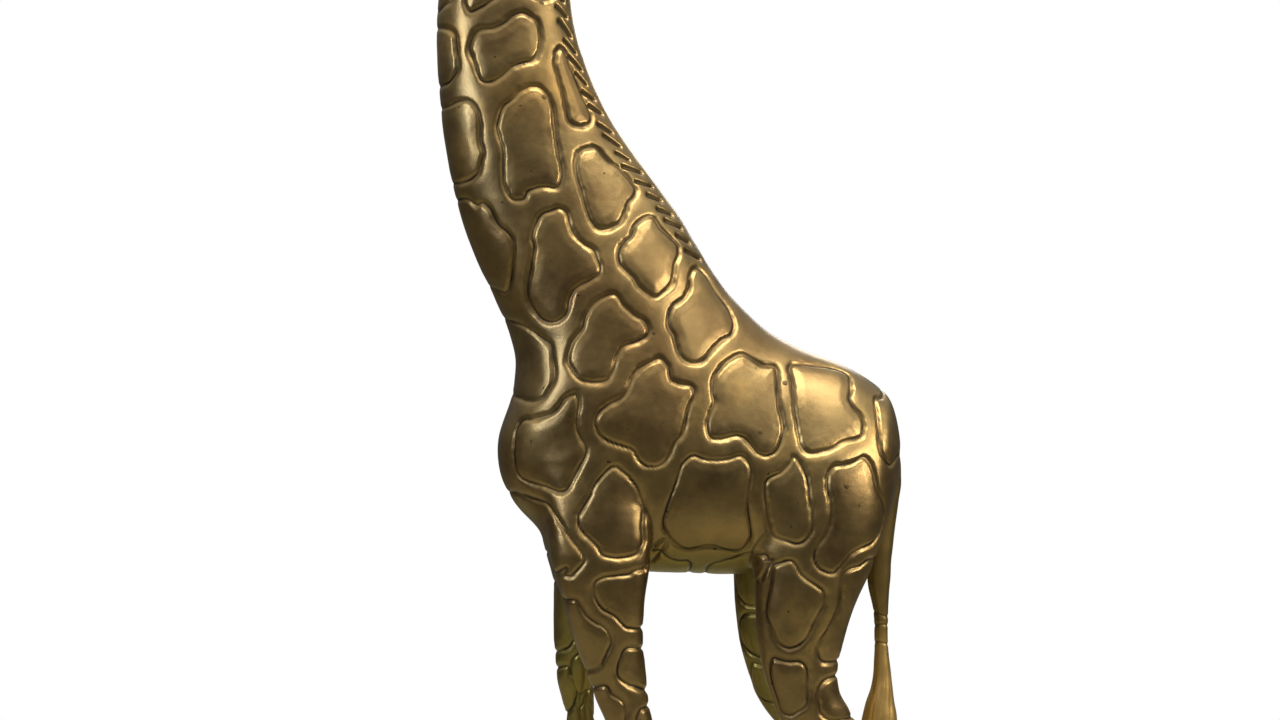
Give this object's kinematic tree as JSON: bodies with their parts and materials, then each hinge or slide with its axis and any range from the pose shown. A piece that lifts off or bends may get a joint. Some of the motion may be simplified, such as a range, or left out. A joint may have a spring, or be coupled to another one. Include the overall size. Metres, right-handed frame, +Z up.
{
  "type": "giraffe statue",
  "caption": "Standing giraffe statue in hollow cast brass with an antique patina; grooved coat spots, long neck, four legs to stand on.",
  "frame": {"origin": "on the floor under the hooves, at the middle of the statue's outline", "axes": "+Z up, head towards -X, tail towards +X, the animal's left side towards -Y"},
  "size_m": [0.3424, 0.0979, 0.8265],
  "materials": {
    "patinated_brass": "cast, chased and brown-patinated, with rubbed golden ridges and dark grooves",
    "polished_brass": "cast and rubbed bright, dark in the hollows",
    "plain_brass": "turned or as cast, unpatinated",
    "dull_brass": "filed flush and patinated dark"
  },
  "bodies": {
    "root": {"torso_left_shell": "patinated_brass", "torso_right_shell": "patinated_brass", "neck_left_shell": "patinated_brass", "neck_right_shell": "patinated_brass", "head_casting": "patinated_brass", "left_ear": "patinated_brass", "right_ear": "patinated_brass", "left_ossicone": "patinated_brass", "right_ossicone": "patinated_brass", "left_foreleg": "patinated_brass", "right_foreleg": "patinated_brass", "left_hind_leg": "patinated_brass", "right_hind_leg": "patinated_brass", "tail": "polished_brass", "neck_base_collar": "plain_brass", "head_collar": "plain_brass", "foreleg_dowels": "plain_brass", "hind_leg_dowels": "plain_brass", "tail_dowel": "plain_brass", "ear_pins": "plain_brass", "ossicone_pins": "plain_brass", "core_pin_plugs": "dull_brass"}
  },
  "joints": []
}
